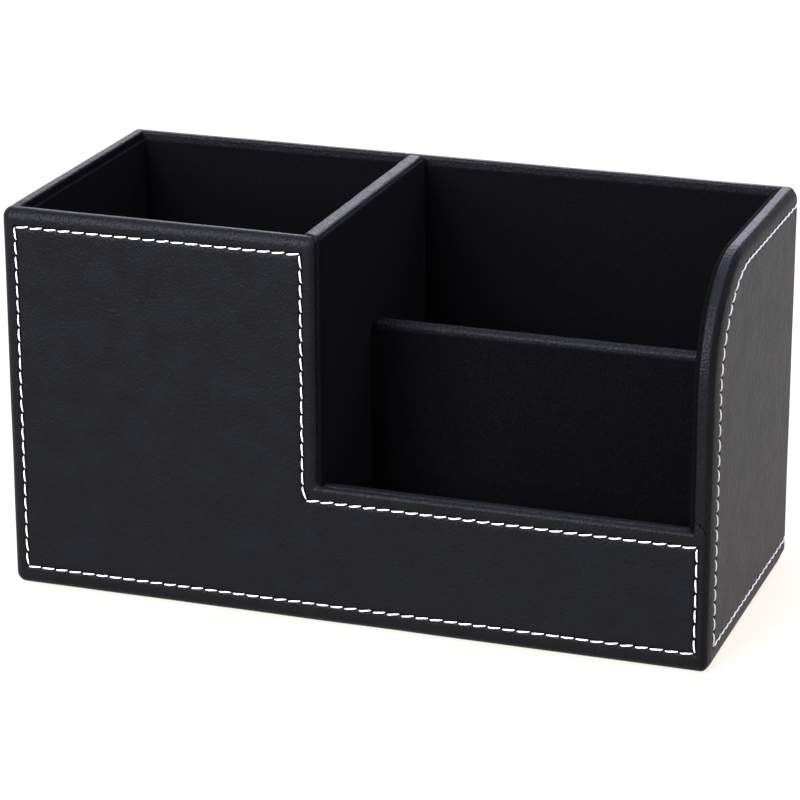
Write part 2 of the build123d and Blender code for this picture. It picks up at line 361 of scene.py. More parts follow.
shell = {
    "lowWallTop": 40.0,      # above the table
    "archRadius": 31.0,      # round at the right side's top front corner
    "edgeRadius": 3.0,
    "tightRadius": 2.2,      # along the right side's front and top edges
    "rimRadius": 0.7,
    "windowRadius": 1.1,     # round along the low wall's front edge
    "jambRadius": 2.2,       # and down the middle divider's front edge
    "cornerFill": 0.45,      # softens the window's lower left corner
    "crownLeft": 0.35,       # how far the tall front rim slopes inwards, at the left
    "crownRight": 0.6,       # and beside the divider
    "meetLine": 2.1,         # where the leathers meet on the low walls, behind their front faces
    "meetDepth": 0.8,
    "meetWidth": 0.42,
    "sideSlope": 0.9,        # how far the right side gives way towards its front and top edges
    "sideSlopeReach": 5.2,
    "mitreRise": 3.4,        # how far the front leather climbs the right front edge
    "turnUnder": 15.0,
    "sheet": 0.6,            # thickness of the leather cloth as modelled
}

left = -100.0
right = 100.0
front = -46.0
back = 46.0
bottom = wrapLow.z
top = wrapHigh.z
leftIn = cupLow.x
rightIn = bayHigh.x
frontIn = cupLow.y
backIn = boxMm("cup_back_lining")[1].y
dividerLeft = cupHigh.x
dividerRight = bayLow.x
baseTop = boxMm("cup_floor_lining")[0].z
sill = shell["lowWallTop"]
wall = leftIn - left
print("outline", left, right, front, back, bottom, top, leftIn, rightIn, frontIn, backIn, dividerRight)

seams = {
    "pitch": 4.1,
    "frontX": (-95.6, -13.1, 96.5),
    "frontZ": (6.1, 36.0, 105.0),
    "sideZ": (6.1, 105.1),
    "sideFrontY": -39.1,
    "rearY": 43.0,
    "bendRadius": 28.0,
    "grooveDepth": 0.22,
    "holeDepth": 0.22,       # further down at the needle holes
    "grooveWidth": 0.5,
    # how wide the painted shade along a stitched groove is, in mm
    "paintedShadeWidth": 0.62,
    "puff": 0.05,            # how far the leather swells beside a seam
    "puffWidth": 1.7,
}
bendY = seams["sideFrontY"] + seams["bendRadius"]
bendZ = seams["sideZ"][1] - seams["bendRadius"]


# Stitch places: each is (centre, direction along, direction outwards, bend)

def stitchRun(start, end, outward):
    start = Vector(start)
    run = Vector(end) - start
    count = max(1, round(run.length / seams["pitch"]))
    step = run / count
    return [(start + step * (k + 0.5), step.normalized(), Vector(outward), 0.0) for k in range(count)]


def frontStitchPlaces():
    x0, x1, x2 = seams["frontX"]
    z0, z1, z2 = seams["frontZ"]
    # the last stitch down beside the window leans into the corner
    lean = 0.9
    corners = [(x0, z0), (x0, z2), (x1, z2), (x1, z1 + seams["pitch"]), (x1 + lean, z1), (x2, z1), (x2, z0)]
    places = []
    for (xa, za), (xb, zb) in zip(corners, corners[1:] + corners[:1]):
        places += stitchRun((xa, front, za), (xb, front, zb), (0, -1, 0))
    return places


def sideStitchPlaces(x, arched):
    low, high = seams["sideZ"]
    y = seams["sideFrontY"]
    rear = seams["rearY"]
    outward = (1 if x > 0 else -1, 0, 0)
    places = []
    if arched:
        places += stitchRun((x, rear, high), (x, bendY, high), outward)
        count = max(1, round(seams["bendRadius"] * math.pi / 2 / seams["pitch"]))
        for k in range(count):
            turn = math.pi / 2 * (1 + (k + 0.5) / count)
            spot = Vector((x, bendY + seams["bendRadius"] * math.cos(turn),
                           bendZ + seams["bendRadius"] * math.sin(turn)))
            places.append((spot, Vector((0, -math.sin(turn), math.cos(turn))), Vector(outward), 0.0))
        places += stitchRun((x, y, bendZ), (x, y, low), outward)
    else:
        places += stitchRun((x, rear, high), (x, y, high), outward)
        places += stitchRun((x, y, high), (x, y, low), outward)
    places += stitchRun((x, y, low), (x, rear, low), outward)
    return places


def backStitchPlaces():
    places = []
    reach = right - shell["edgeRadius"]
    half = shell["edgeRadius"] * math.sqrt(0.5)
    for z in seams["sideZ"]:
        places += stitchRun((-reach, back, z), (reach, back, z), (0, 1, 0))
        for side in (-1, 1):
            outward = Vector((side, 1, 0)).normalized()
            spot = Vector((side * (reach + half), back - shell["edgeRadius"] + half, z))
            places.append((spot, Vector((-outward.y, outward.x, 0)), outward, shell["edgeRadius"]))
    return places


frontPlaces = frontStitchPlaces()
wrapPlaces = sideStitchPlaces(left, False) + sideStitchPlaces(right, True) + backStitchPlaces()
allPlaces = frontPlaces + wrapPlaces
placeTree = kdtree.KDTree(len(allPlaces))
for number, spot in enumerate(allPlaces):
    placeTree.insert(spot[0], number)
placeTree.balance()
print("stitch places", len(frontPlaces), len(wrapPlaces))


# The leather starts as flat grids on a sharp box, one per face. Each point is then carried to the
# rounded outline, so the pieces share their edges.

edgeSteps = (0, 0.3, 0.6, 0.9, 1.3, 1.7, 2.1, 2.5, 3.0)
rimSteps = (3.8, 4.0, 4.15, 4.3, 4.5)
jambSteps = (0, 0.37, 0.74, 1.1, 1.65, 2.2)
seamSteps = (-0.9, -0.6, -0.36, -0.16, 0, 0.16, 0.36, 0.6, 0.9)
windowSteps = (0, 0.275, 0.55, 0.825, 1.1)
meetSteps = (-0.8, -0.6, -0.4, -0.2, 0, 0.2, 0.4, 0.6, 0.8)
fill = 1.15


def stations(fixed, loose, low, high):
    found = sorted(set(round(v, 4) for v in fixed))
    for value in sorted(loose):
        if all(abs(value - other) > 0.12 for other in found):
            found.append(value)
    found = sorted(found)
    filled = []
    for a, b in zip(found, found[1:]):
        parts = max(1, math.ceil((b - a) / fill))
        filled += [a + (b - a) * k / parts for k in range(parts)]
    filled.append(found[-1])
    return [v for v in filled if low - tiny <= v <= high + tiny]


xFixed = [left + s for s in edgeSteps + rimSteps] + [right - s for s in edgeSteps + rimSteps]
xFixed += [dividerRight - s for s in jambSteps]
xLines = stations(xFixed, [x + s for x in seams["frontX"] for s in seamSteps], left, right)
yFixed = [front + s for s in edgeSteps + rimSteps] + [back - s for s in edgeSteps + rimSteps]
yFixed += [front + shell["meetLine"] + s for s in meetSteps]
yLines = stations(yFixed, [seams["sideFrontY"] + s for s in seamSteps], front, back)
zFixed = [bottom + s for s in edgeSteps] + [top - s for s in edgeSteps]
zFixed += [sill - s for s in windowSteps] + [baseTop, sill + shell["mitreRise"]]
zSeams = (seams["frontZ"][0], seams["frontZ"][1], (seams["frontZ"][2] + seams["sideZ"][1]) / 2)
zLines = stations(zFixed, [z + s for z in zSeams for s in seamSteps], bottom, top)
innerZ = [baseTop, sill] + [top - s for s in (3.0, 0.9, 0.6, 0.3, 0)]
print("lattice", len(xLines), len(yLines), len(zLines))


def between(lines, low, high):
    return [v for v in lines if low - tiny <= v <= high + tiny]


def addPanel(bm, axis, at, firstLines, secondLines, keep=None):
    # a grid in the plane where the given axis is at; the other two axes follow the lines
    columns = len(firstLines) - 1
    rows = len(secondLines) - 1
    made = bmesh.ops.create_grid(bm, x_segments=columns, y_segments=rows, size=0.5)["verts"]
    for vert in made:
        place = [firstLines[round((vert.co.x + 0.5) * columns)], secondLines[round((vert.co.y + 0.5) * rows)]]
        place.insert(axis, at)
        vert.co = place
    if keep:
        faces = {face for vert in made for face in vert.link_faces}
        gone = [face for face in faces if not keep(face.calc_center_median())]
        bmesh.ops.delete(bm, geom=gone, context="FACES")


def inWindow(spot):
    return dividerRight < spot.x < rightIn and (spot.z > sill or spot.y > front + tiny)


def isRim(spot):
    if spot.y < frontIn:
        return not dividerRight < spot.x < rightIn
    return spot.y > backIn or not leftIn < spot.x < rightIn


def isFootEdge(spot):
    edge = shell["edgeRadius"]
    return abs(spot.x) > right - edge or abs(spot.y) > back - edge


def makeSharpShell():
    bm = bmesh.new()
    overWindow = lambda spot: not (dividerRight < spot.x < rightIn and spot.z > sill)
    addPanel(bm, 1, front, xLines, zLines, overWindow)
    addPanel(bm, 1, back, xLines, zLines)
    addPanel(bm, 0, left, yLines, zLines)
    addPanel(bm, 0, right, yLines, zLines)
    addPanel(bm, 2, top, xLines, yLines, isRim)
    addPanel(bm, 2, bottom, xLines, yLines, isFootEdge)
    addPanel(bm, 0, dividerRight, between(yLines, front, frontIn), between(zLines, sill, top))
    addPanel(bm, 2, sill, between(xLines, dividerRight, rightIn), between(yLines, front, frontIn))
    addPanel(bm, 0, leftIn, between(yLines, frontIn, backIn), innerZ)
    addPanel(bm, 0, rightIn, between(yLines, front, backIn), between(zLines, baseTop, top),
             lambda spot: spot.z > sill or spot.y > frontIn)
    addPanel(bm, 1, backIn, between(xLines, leftIn, rightIn), innerZ)
    addPanel(bm, 1, frontIn, between(xLines, leftIn, rightIn), innerZ, overWindow)
    bmesh.ops.remove_doubles(bm, verts=bm.verts, dist=0.01)
    # leather turned under the base
    rim = [e for e in bm.edges if len(e.link_faces) == 1 and all(abs(v.co.z - bottom) < tiny for v in e.verts)]
    turned = bmesh.ops.extrude_edge_only(bm, edges=rim)["geom"]
    reach = shell["turnUnder"]
    for vert in turned:
        if isinstance(vert, bmesh.types.BMVert):
            vert.co.x = max(left + reach, min(right - reach, vert.co.x))
            vert.co.y = max(front + reach, min(back - reach, vert.co.y))
    bmesh.ops.remove_doubles(bm, verts=bm.verts, dist=0.01)
    return bm


# Flat fields between the seams, as (axis, place, low corner, high corner); thinFields keeps every fifth line there
fieldInset = 9.5
fields = [
    (1, front, (-91.5, front, 10.4), (-17.2, front, 100.4)),
    (1, front, (-17.3, front, 10.4), (92.4, front, 31.6)),
    (1, back, (-96.6, back, 10.4), (96.6, back, 100.4)),
    (0, left, (left, -34.9, 10.4), (left, 42.6, 100.4)),
    (0, right, (right, -34.9, 10.4), (right, 42.6, 100.4)),
    (0, rightIn, (rightIn, -44.8, baseTop), (rightIn, backIn, 108.8)),
]


def thinFields(bm):
    for axis, at, low, high in fields:
        others = [k for k in range(3) if k != axis]
        lines = {0: xLines, 1: yLines, 2: zLines}
        kept = {k: set(round(v, 3) for v in lines[k][::5]) for k in others}

        def inField(face):
            middle = face.calc_center_median()
            return abs(middle[axis] - at) < tiny and all(low[k] < middle[k] < high[k] for k in others)

        inside = {face for face in bm.faces if inField(face)}
        loose = []
        for edge in bm.edges:
            if len(edge.link_faces) == 2 and all(face in inside for face in edge.link_faces):
                a, b = (vert.co for vert in edge.verts)
                across = [k for k in others if abs(a[k] - b[k]) < tiny][0]
                if round(a[across], 3) not in kept[across]:
                    loose.append(edge)
        bmesh.ops.dissolve_edges(bm, edges=loose, use_verts=True, use_face_split=False)


def stripLine(x):
    return sill + shell["mitreRise"] * (right - x) / wall


def isFrontPiece(spot):
    depth = spot.y - front
    beyondStrip = spot.x > rightIn - tiny and spot.z > stripLine(spot.x)
    return depth < min(spot.x - left, right - spot.x) and depth < shell["turnUnder"] and not beyondStrip


def cutMitres(bm):
    reach = shell["turnUnder"] + 1

    def nearCorner(element, side):
        return all(abs(v.co.x - side * right) < reach and v.co.y < front + reach
                   and (v.co.z > top - tiny or v.co.z < bottom + tiny) for v in element.verts)

    for side in (-1, 1):
        faces = [face for face in bm.faces if nearCorner(face, side)]
        edges = {edge for face in faces for edge in face.edges}
        verts = {vert for face in faces for vert in face.verts}
        bmesh.ops.bisect_plane(bm, geom=[*verts, *edges, *faces], dist=1e-4,
                               plane_co=(side * right, front, 0), plane_no=(side, 1, 0))
    for at, normal in (((rightIn, front, sill + shell["mitreRise"]), (shell["mitreRise"], 0, wall)),
                       ((rightIn, front, sill + shell["mitreRise"]), (0, 0, 1))):
        onFront = normal[0] > 0
        faces = []
        for face in bm.faces:
            middle = face.calc_center_median()
            inPlane = middle.y < front + tiny and middle.x > rightIn if onFront else (
                abs(middle.x - rightIn) < tiny and middle.y < frontIn)
            if inPlane and sill - 1 < middle.z < sill + shell["mitreRise"] + 2:
                faces.append(face)
        edges = {edge for face in faces for edge in face.edges}
        verts = {vert for face in faces for vert in face.verts}
        bmesh.ops.bisect_plane(bm, geom=[*verts, *edges, *faces], dist=1e-4, plane_co=at, plane_no=normal)


# From the sharp box to the rounded outline

middleZ = (bottom + top) / 2
archShiftY = bendY - (front + shell["archRadius"])
archShiftZ = (top - shell["archRadius"]) - bendZ


def archShare(inset):
    return min(1.0, max(0.0, (inset - 3.0) / 0.9))


def aroundProfile(y, z, arched):
    # how far in from the outline a point of a side lies, the outline's point beside it, the way
    # outwards there, and where the point itself goes
    ySide = -1 if y < 0 else 1
    zSide = 1 if z > middleZ else -1
    yEdge, zEdge = (front if ySide < 0 else back), (top if zSide > 0 else bottom)
    fromY, fromZ = abs(y - yEdge), abs(z - zEdge)
    isArch = arched and ySide < 0 and zSide > 0
    radius = shell["archRadius"] if isArch else shell["edgeRadius"]
    shiftY, shiftZ = (archShiftY, archShiftZ) if isArch else (0.0, 0.0)
    lag = shiftY - shiftZ
    upper = fromY >= fromZ + lag * archShare(fromZ)
    if upper:
        inset = fromZ
    elif fromY <= 3.0 or not isArch:
        inset = fromY
    elif fromY <= 3.9 + lag:
        inset = 3.0 + (fromY - 3.0) * 0.9 / (0.9 + lag)
    else:
        inset = fromY - lag
    share = archShare(inset) if isArch else 0.0
    centreZ = radius + shiftZ * share
    centreY = radius + shiftY * share
    ring = centreZ - inset
    flat = Vector((0, y, z))
    if upper and (fromY >= centreY or ring < tiny):
        return inset, Vector((0, y, zEdge)), Vector((0, 0, zSide)), flat
    if not upper and (fromZ >= centreZ or ring < tiny):
        return inset, Vector((0, yEdge, z)), Vector((0, ySide, 0)), flat
    turn = 45 * (centreY - fromY) / ring if upper else 90 - 45 * (centreZ - fromZ) / ring
    turn = math.radians(turn)
    out = Vector((0, ySide * math.sin(turn), zSide * math.cos(turn)))
    centre = Vector((0, yEdge - ySide * centreY, zEdge - zSide * centreZ))
    return inset, centre + out * centreZ, out, centre + out * ring


def roundOver(share):
    # share is 1 where a rounding starts on one face, 0 on the sharp edge and -1 where it ends
    turn = math.radians(45 * (1 - share))
    return 1 - math.sin(turn), 1 - math.cos(turn)


def sideRadius(x, y):
    tight = shell["tightRadius"]
    if x < 0:
        return shell["edgeRadius"]
    return tight + (shell["edgeRadius"] - tight) * smooth((y - 36) / 7)


def openingGaps(x, y, z):
    # how far a point of the outline is from the openings' edges, in radii, with the radii and the
    # way into the wall
    rim, window, jamb = shell["rimRadius"], shell["windowRadius"], shell["jambRadius"]
    if z > top - tiny:
        if x > dividerRight + tiny:
            gap = Vector((max(x - rightIn, 0) / rim, max(y - backIn, 0) / rim, 0))
            touch = Vector((x > rightIn - tiny, y > backIn - tiny, 0))
            return [(gap, Vector((rim, rim, rim)), touch)]
        gap = Vector((min(x - leftIn, 0) / rim, (y - min(backIn, max(frontIn, y))) / rim, 0))
        touch = Vector((-(x < leftIn + tiny), (y > backIn - tiny) - (y < frontIn + tiny), 0))
        found = [(gap, Vector((rim, rim, rim)), touch)]
        if y < frontIn + tiny:
            found.append((Vector(((x - dividerRight) / jamb, 0, 0)), Vector((jamb,) * 3), Vector((-1, 0, 0))))
        return found
    if y < front + tiny:
        below = min(z - sill, 0) / window
        down = -(z < sill + tiny)
        if x > dividerRight + tiny:
            gap = Vector((max(x - rightIn, 0) / rim, 0, below))
            return [(gap, Vector((rim, rim, window)), Vector((x > rightIn - tiny, 0, down)))]
        gap = Vector(((x - dividerRight) / jamb, 0, below))
        return [(gap, Vector((jamb, window, window)), Vector((-(x > dividerRight - tiny), 0, down)))]
    return []


def roundedPlace(spot):
    x, y, z = spot
    edge = sideRadius(x, y)
    rim, window, jamb = shell["rimRadius"], shell["windowRadius"], shell["jambRadius"]
    inset, base, out, flat = aroundProfile(y, z, x > rightIn - tiny)
    side = -1 if x < 0 else 1
    fromSide = right - abs(x)
    newX = x
    depth = None
    move = Vector((0, 0, 0))
    if fromSide < tiny:
        if inset < edge:
            away, deep = roundOver(-inset / edge)
            newX = side * (right - edge * away)
            depth = edge * deep
    elif inset < tiny:
        depth = 0.0
        if fromSide < edge:
            away, deep = roundOver(fromSide / edge)
            newX = side * (right - edge * away)
            depth = edge * deep
        for gap, radii, touch in openingGaps(x, y, z):
            share = max(abs(v) for v in gap)
            if share < 1:
                away, deep = roundOver(share)
                lead = touch if share < tiny else gap
                way = touch * away if share < tiny else gap * (away / share - 1)
                move += Vector(w * r for w, r in zip(way, radii))
                total = max(tiny, sum(abs(v) for v in lead))
                depth += deep * sum(abs(v) * r for v, r in zip(lead, radii)) / total
    else:
        touches = []
        if abs(x - leftIn) < tiny:
            touches.append((0, -1, rim))
        if abs(x - rightIn) < tiny:
            touches.append((0, 1, rim))
        if abs(x - dividerRight) < tiny and y < frontIn + tiny and z > sill - tiny:
            touches.append((0, -1, jamb))
        if abs(y - frontIn) < tiny and x < dividerRight + tiny:
            touches.append((1, -1, rim))
        if abs(y - backIn) < tiny:
            touches.append((1, 1, rim))
        if abs(z - sill) < tiny and y < frontIn + tiny and dividerRight - tiny < x < rightIn + tiny:
            touches.append((2, -1, window))
        for axis, way, radius in touches:
            if inset < radius:
                away, deep = roundOver(-inset / radius)
                move[axis] += way * radius * away
                depth = max(depth or 0.0, radius * deep)
    place = flat if depth is None else base - out * depth
    return Vector((newX, place.y, place.z)) + move


def seamReliefAndPaintedShade(spot):
    # height of the leather beside the nearest stitch, and how much painted shade its groove gets there
    centre, number, distance = placeTree.find(spot)
    if distance > 6:
        return 0.0, 0.0
    _, along, outward, _ = allPlaces[number]
    offset = spot - centre
    if abs(offset.dot(outward)) > 2.2:
        return 0.0, 0.0
    across = abs(offset.dot(outward.cross(along)))
    run = abs(offset.dot(along))
    hole = math.exp(-((max(0.0, seams["pitch"] / 2 - run) / 0.75) ** 2))
    groove = (seams["grooveDepth"] + seams["holeDepth"] * hole) * math.exp(-(across / seams["grooveWidth"]) ** 2)
    swell = (across / seams["puffWidth"]) ** 2
    puff = seams["puff"] * (1 - 0.35 * hole) * swell * math.exp(1 - swell)
    # the second value is painted shade, which darkens the leather's base colour in the groove
    return puff - groove, math.exp(-((across / seams["paintedShadeWidth"]) ** 4))


def outlineDepth(y, z):
    # how far a point of the right side lies from its front or top edge
    fromY = shell["archRadius"] + front - y
    fromZ = z - top + shell["archRadius"]
    if fromY > 0 and fromZ > 0:
        return shell["archRadius"] - math.hypot(fromY, fromZ)
    return min(y - front, top - z)


def settle(spot):
    # where hand folded leather leaves the drawn outline
    x, y, z = spot
    move = Vector((0, 0, 0))
    if z > top - 4 and x < dividerRight + 0.1 and y < frontIn + 4:
        share = min(1.0, max(0.0, (x - leftIn) / (dividerLeft - leftIn)))
        crown = shell["crownLeft"] + (shell["crownRight"] - shell["crownLeft"]) * share
        crown *= smooth((y - front - 1.0) / (wall - 1.0)) * (1 - smooth((y - frontIn) / 4))
        move.z -= crown * smooth((z - top + 4) / 2.5) * smooth((x - left) / wall)
    if y < frontIn + tiny and abs(x - dividerRight) < 3 and abs(z - sill) < 3:
        fillIn = shell["cornerFill"] * math.exp(-(((abs(x - dividerRight) + abs(z - sill)) / 1.0) ** 2))
        move += Vector((fillIn, 0, fillIn))
    if x > right - shell["tightRadius"]:
        depth = max(0.0, outlineDepth(y, z)) / shell["sideSlopeReach"]
        share = smooth((x - right + shell["tightRadius"]) / shell["tightRadius"])
        move.x -= shell["sideSlope"] * max(0.0, 1 - depth) ** 2 * share
    if abs(z - sill) < 1.2 and front + 0.5 < y < frontIn and dividerRight < x < rightIn:
        meet = math.exp(-(((y - front - shell["meetLine"]) / shell["meetWidth"]) ** 2))
        move.z -= shell["meetDepth"] * meet * smooth((x - dividerRight - 0.3) / 2) * smooth((rightIn - x - 0.3) / 2)
    return move


capTail = {
    "leftEnd": -42.2,        # where the divider's cap ends on the rim, at its left and right edge
    "rightEnd": -44.6,
    "sink": 0.5,             # how far the rim gives way under it
}


def tailDepth(x, y):
    # how far behind the cap's slanted front end a point lies
    slope = (capTail["rightEnd"] - capTail["leftEnd"]) / (dividerRight - dividerLeft)
    return (y - capTail["leftEnd"] - slope * (x - dividerLeft)) / math.hypot(1, slope)


def makeShellLeather():
    bm = makeSharpShell()
    thinFields(bm)
    cutMitres(bm)
    onFront = bm.faces.layers.int.new("onFront")
    crease = bm.verts.layers.float.new("crease")
    # painted shade for the stitched grooves, read by the leather's colour
    paintedSeamShade = bm.verts.layers.float.new("paintedSeamShade")
    for face in bm.faces:
        face[onFront] = int(isFrontPiece(face.calc_center_median()))
    for vert in bm.verts:
        kinds = {face[onFront] for face in vert.link_faces}
        if len(kinds) == 2:
            onCorner = right - abs(vert.co.x) < tiny and vert.co.y < front + tiny
            vert[crease] = 0.06 if onCorner else 0.22
    for vert in bm.verts:
        vert.co = roundedPlace(vert.co)
    bmesh.ops.recalc_face_normals(bm, faces=bm.faces)
    facing = sum(face.normal.y for face in bm.faces if face.calc_center_median().y < front + tiny)
    if facing > 0:
        bmesh.ops.reverse_faces(bm, faces=bm.faces)
    bm.normal_update()
    moves = []
    for vert in bm.verts:
        wave = 0.07 * noise.noise(vert.co * 0.045)
        relief, vert[paintedSeamShade] = seamReliefAndPaintedShade(vert.co)
        moves.append(vert.normal * (relief + wave - vert[crease]) + settle(vert.co))
    for vert, move in zip(bm.verts, moves):
        vert.co += move
        underTail = dividerLeft - 0.3 < vert.co.x < dividerRight and vert.co.y < frontIn + 0.5
        if underTail and vert.co.z > top - 2.5:
            vert.co.z -= capTail["sink"] * smooth(tailDepth(vert.co.x, vert.co.y) / 0.5)
    pieces = []
    for name, isFront, node in (("frontLeather", 1, "front_cover"), ("wrapLeather", 0, "wrap_cover")):
        part = bm.copy()
        layer = part.faces.layers.int["onFront"]
        bmesh.ops.delete(part, geom=[face for face in part.faces if face[layer] != isFront], context="FACES")
        print(name, len(part.faces), "faces")
        piece = finishPiece(part, name, leather, [node], 70)
        thicken(piece, shell["sheet"])
        pieces.append(piece)
    bm.free()
    return pieces


frontLeather, wrapLeather = makeShellLeather()
print("shell leather made")


# Leather folded over the dividers

capLook = {
    "radius": 1.1,
    "crossRadius": 1.1,
    "step": 1.5,             # mm between the slices that let it lie unevenly
    "wave": 0.10,
}


def foldedCap(low, high, along, radius):
    across = 1 - along
    bm = bmesh.new()
    bmesh.ops.create_cube(bm, size=1)
    bmesh.ops.scale(bm, vec=high - low, verts=bm.verts)
    bmesh.ops.translate(bm, vec=(low + high) / 2, verts=bm.verts)
    gone = [face for face in bm.faces if abs(face.normal[along]) > 0.5 or face.normal.z < -0.5]
    bmesh.ops.delete(bm, geom=gone, context="FACES_ONLY")
    loose = [edge for edge in bm.edges if not edge.link_faces]
    bmesh.ops.delete(bm, geom=loose, context="EDGES")
    folds = [edge for edge in bm.edges if len(edge.link_faces) == 2]
    bmesh.ops.bevel(bm, geom=folds, offset=radius, offset_type="OFFSET", segments=6,
                    profile=0.5, affect="EDGES", material=-1, clamp_overlap=False)
    normal = Vector((0, 0, 0))
    normal[along] = 1
    count = int((high[along] - low[along]) / capLook["step"])
    for k in range(1, count):
        at = low.copy()
        at[along] = low[along] + (high[along] - low[along]) * k / count
        bmesh.ops.bisect_plane(bm, geom=[*bm.verts, *bm.edges, *bm.faces], dist=1e-4, plane_co=at, plane_no=normal)
    bmesh.ops.bisect_plane(bm, geom=[*bm.verts, *bm.edges, *bm.faces], dist=1e-4,
                           plane_co=(0, 0, high.z - 3), plane_no=(0, 0, 1))
    for vert in bm.verts:
        if vert.co.z > high.z - 2.9:
            wave = noise.noise(Vector((vert.co[along] * 0.16, across * 7.0, 3.0)))
            vert.co.z += capLook["wave"] * (wave - 0.4)
            vert.co[across] += capLook["wave"] * noise.noise(Vector((vert.co[along] * 0.12, 5.0, vert.co.z * 0.05)))
    return bm


def outwardsFromMiddle(bm):
    bmesh.ops.recalc_face_normals(bm, faces=bm.faces)
    if sum(face.normal.z for face in bm.faces) < 0:
        bmesh.ops.reverse_faces(bm, faces=bm.faces)


def makeMiddleCap():
    low, high = boxMm("middle_divider_cover")
    low.y = capTail["rightEnd"] - 1.0
    bm = foldedCap(low, high, 1, capLook["radius"])
    slope = (capTail["rightEnd"] - capTail["leftEnd"]) / (dividerRight - dividerLeft)
    for behind in (0, 0.25, 0.5, 0.8, 1.2):
        plane = Vector((-slope, 1, 0)).normalized()
        at = Vector((dividerLeft, capTail["leftEnd"], 0)) + plane * behind
        bmesh.ops.bisect_plane(bm, geom=[*bm.verts, *bm.edges, *bm.faces], dist=1e-4, plane_co=at,
                               plane_no=plane, clear_inner=behind == 0)
    bmesh.ops.bisect_plane(bm, geom=[*bm.verts, *bm.edges, *bm.faces], dist=1e-4,
                           plane_co=(0, frontIn, 0), plane_no=(0, 1, 0))
    skirts = [face for face in bm.faces if face.calc_center_median().y < frontIn
              and face.calc_center_median().z < high.z - capLook["radius"] - 0.2]
    bmesh.ops.delete(bm, geom=skirts, context="FACES")
    for vert in bm.verts:
        behind = tailDepth(vert.co.x, vert.co.y)
        if vert.co.z > high.z - 2.9:
            vert.co.z -= 0.45 * (1 - smooth(behind / 0.9))
    outwardsFromMiddle(bm)
    piece = finishPiece(bm, "middleDividerCap", leather, ["middle_divider_cover"], 70)
    thicken(piece, shell["sheet"])
    return piece


def makeCrossCap():
    low, high = boxMm("cross_divider_cover")
    bm = foldedCap(low, high, 0, capLook["crossRadius"])
    meet = (low.y + high.y) / 2
    for step in meetSteps:
        bmesh.ops.bisect_plane(bm, geom=[*bm.verts, *bm.edges, *bm.faces], dist=1e-4,
                               plane_co=(0, meet + step, 0), plane_no=(0, 1, 0))
    for vert in bm.verts:
        if vert.co.z > high.z - 0.6:
            vert.co.z -= shell["meetDepth"] * math.exp(-(((vert.co.y - meet) / shell["meetWidth"]) ** 2))
    outwardsFromMiddle(bm)
    piece = finishPiece(bm, "crossDividerCap", leather, ["cross_divider_cover"], 70)
    thicken(piece, shell["sheet"])
    return piece


makeMiddleCap()
makeCrossCap()
print("divider caps made")


# Stitches

stitchLook = {
    "length": 3.7,
    "ragged": 0.10,          # how much one stitch differs from the next
    "width": 0.48,
    "slant": 5.5,            # degrees off the seam line
    "smile": 0.04,           # how far its ends bend outwards of the row
    "rise": 0.14,            # its middle above the leather's face
    "dive": 0.46,            # its ends further down into the needle holes
}


def stitchTemplate():
    bm = bmesh.new()
    bmesh.ops.create_uvsphere(bm, u_segments=8, v_segments=7, radius=1)
    bmesh.ops.rotate(bm, verts=bm.verts, matrix=Matrix.Rotation(math.pi / 2, 3, "Y"))
    half = stitchLook["length"] / 2
    for vert in bm.verts:
        x, y, z = vert.co
        fuller = max(0.05, 1 - x * x) ** -0.2
        vert.co = Vector((x * half, y * stitchLook["width"] / 2 * fuller, z * stitchLook["width"] / 2 * fuller))
    return bm


def makeStitches(name, places, node):
    template = stitchTemplate()
    half = stitchLook["length"] / 2
    bm = bmesh.new()
    local = bm.verts.layers.float_vector.new("threadPlace")
    for number, (centre, along, outward, bend) in enumerate(places):
        slant = math.radians(stitchLook["slant"] + 5.0 * noise.noise(Vector((number * 0.37, 1.5, 0))))
        stretch = 1 + 0.05 * noise.noise(Vector((number * 0.53, 4.5, 0)))
        side = outward.cross(along)
        twins = {}
        for vert in template.verts:
            x, y, z = vert.co
            lump = noise.noise(Vector((x * 0.9, number * 0.71, 2.5)))
            y = y * (1 + 1.5 * stitchLook["ragged"] * lump) + stitchLook["smile"] * (abs(x) / half) ** 2
            y += stitchLook["ragged"] * lump
            dive = stitchLook["dive"] * (abs(x) / half) ** 4 - stitchLook["rise"]
            u = x * stretch * math.cos(slant) - y * math.sin(slant)
            v = x * stretch * math.sin(slant) + y * math.cos(slant)
            w = z - dive
            if bend:
                turn = u / bend
                spot = centre + along * ((bend + w) * math.sin(turn))
                spot += outward * ((bend + w) * math.cos(turn) - bend) + side * v
            else:
                spot = centre + along * u + side * v + outward * w
            twin = bm.verts.new(spot)
            twin[local] = vert.co
            twins[vert] = twin
        for face in template.faces:
            bm.faces.new([twins[vert] for vert in face.verts])
    template.free()
    bm.normal_update()
    return finishPiece(bm, name, thread, [node], 180)


makeStitches("frontStitches", frontPlaces, "front_stitching")
makeStitches("wrapStitches", wrapPlaces, "wrap_stitching")
print("stitches made")


# Velvet covered cards

cardLook = {
    "edge": 0.45,            # round of the wrapped edges
    "slice": 5.0,
    "wave": 0.16,
}
cardNodes = [
    "cup_floor_lining", "cup_left_lining", "cup_right_lining", "cup_front_lining", "cup_back_lining",
    "bay_floor_lining", "bay_left_lining", "bay_right_lining", "bay_front_lining", "bay_back_lining",
    "cross_front_lining", "cross_back_lining",
]


